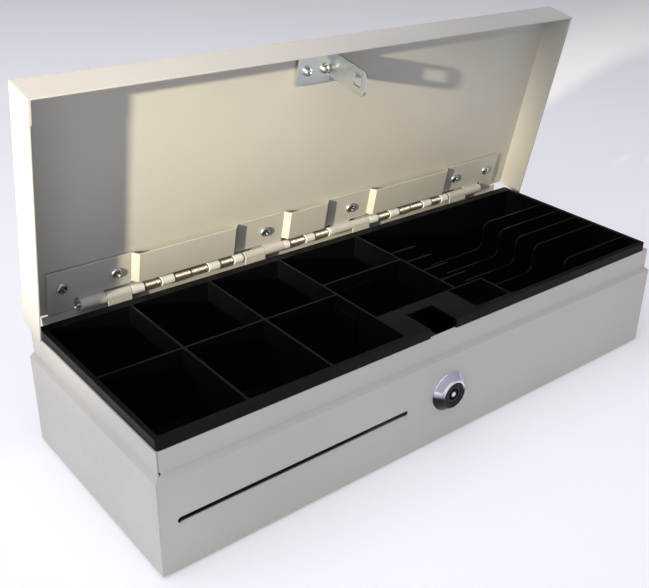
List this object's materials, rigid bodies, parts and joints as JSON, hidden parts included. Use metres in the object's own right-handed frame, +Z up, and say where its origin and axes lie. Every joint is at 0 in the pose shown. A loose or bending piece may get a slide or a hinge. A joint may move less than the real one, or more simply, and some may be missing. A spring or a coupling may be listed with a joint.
{
  "type": "flip-top cash drawer",
  "caption": "Low metal cash drawer with a sprung flip-up lid, a moulded coin and banknote insert, a media slot and a key lock on the front.",
  "frame": {"origin": "centre of the four fixing holes, on the underside of the base", "axes": "+X to the right seen from the front, +Y to the back, +Z up out of the insert"},
  "size_m": [0.46, 0.1783, 0.261],
  "materials": {
    "ivory_paint": "satin textured powder coat",
    "insert_plastic": "satin moulded",
    "foot_rubber": "matt",
    "nylon": "satin",
    "zinc": "zinc plated",
    "steel": "turned and pressed",
    "spring_steel": "drawn wire",
    "chrome": "polished",
    "black_plastic": "semi-gloss",
    "red_plastic": "semi-gloss",
    "coil_tape": "varnished winding",
    "contact_brass": "plated",
    "cable_sleeve": "matt PVC"
  },
  "bodies": {
    "drawer": {"body_wrap": "ivory_paint", "left_end_panel": "ivory_paint", "right_end_panel": "ivory_paint", "rubber_feet": "foot_rubber", "insert_tray": "insert_plastic", "tray_rest_tabs": "ivory_paint", "hinge_rail": "ivory_paint", "hinge_pin": "steel", "hinge_bushes": "nylon", "torsion_springs": "spring_steel", "lock_housing": "chrome", "lock_shroud": "black_plastic", "lock_nut": "zinc", "latch_bracket": "zinc", "bracket_screws": "zinc", "solenoid_frame": "zinc", "solenoid_coil": "coil_tape", "solenoid_screws": "zinc", "return_spring": "spring_steel", "microswitch": "black_plastic", "microswitch_terminals": "contact_brass", "cable_jack": "black_plastic", "jack_contacts": "contact_brass", "wire_loom": "cable_sleeve"},
    "lid": {"lid_shell": "ivory_paint", "lid_bosses": "zinc", "lid_leaf": "ivory_paint", "leaf_screws": "zinc", "striker": "zinc", "striker_washers": "zinc", "striker_screws": "zinc"},
    "key": {"lock_plug": "chrome", "lock_face": "black_plastic", "lock_post": "chrome", "lock_cam": "zinc", "cam_screw": "zinc", "cam_pin": "steel"},
    "latch": {"latch_slide": "steel", "solenoid_plunger": "steel", "plunger_pin": "zinc"},
    "switch_button": {"microswitch_button": "red_plastic"}
  },
  "joints": [
    {"name": "lid_hinge", "type": "hinge", "parent": "drawer", "child": "lid", "pos_m": [0, 0.081, 0.0953], "axis": [1, 0, 0], "range_deg": [0, 78.5], "stiffness_Nm_per_rad": 0.5, "springref_deg": -34.38, "deforming": ["torsion_springs"]},
    {"name": "key_turn", "type": "hinge", "parent": "drawer", "child": "key", "pos_m": [-0.0032, -0.085, 0.0383], "axis": [0, -1, 0], "range_deg": [0, 90]},
    {"name": "latch_travel", "type": "slide", "parent": "drawer", "child": "latch", "axis": [-1, 0, 0], "range_m": [0, 0.006], "deforming": ["return_spring"]},
    {"name": "switch_press", "type": "slide", "parent": "drawer", "child": "switch_button", "axis": [0, 0, -1], "range_m": [0, 0.001], "stiffness_N_per_m": 100}
  ],
  "couplings": [
    {"joint": "key_turn", "follows": "latch_travel", "rad_per_m": 261.8}
  ]
}
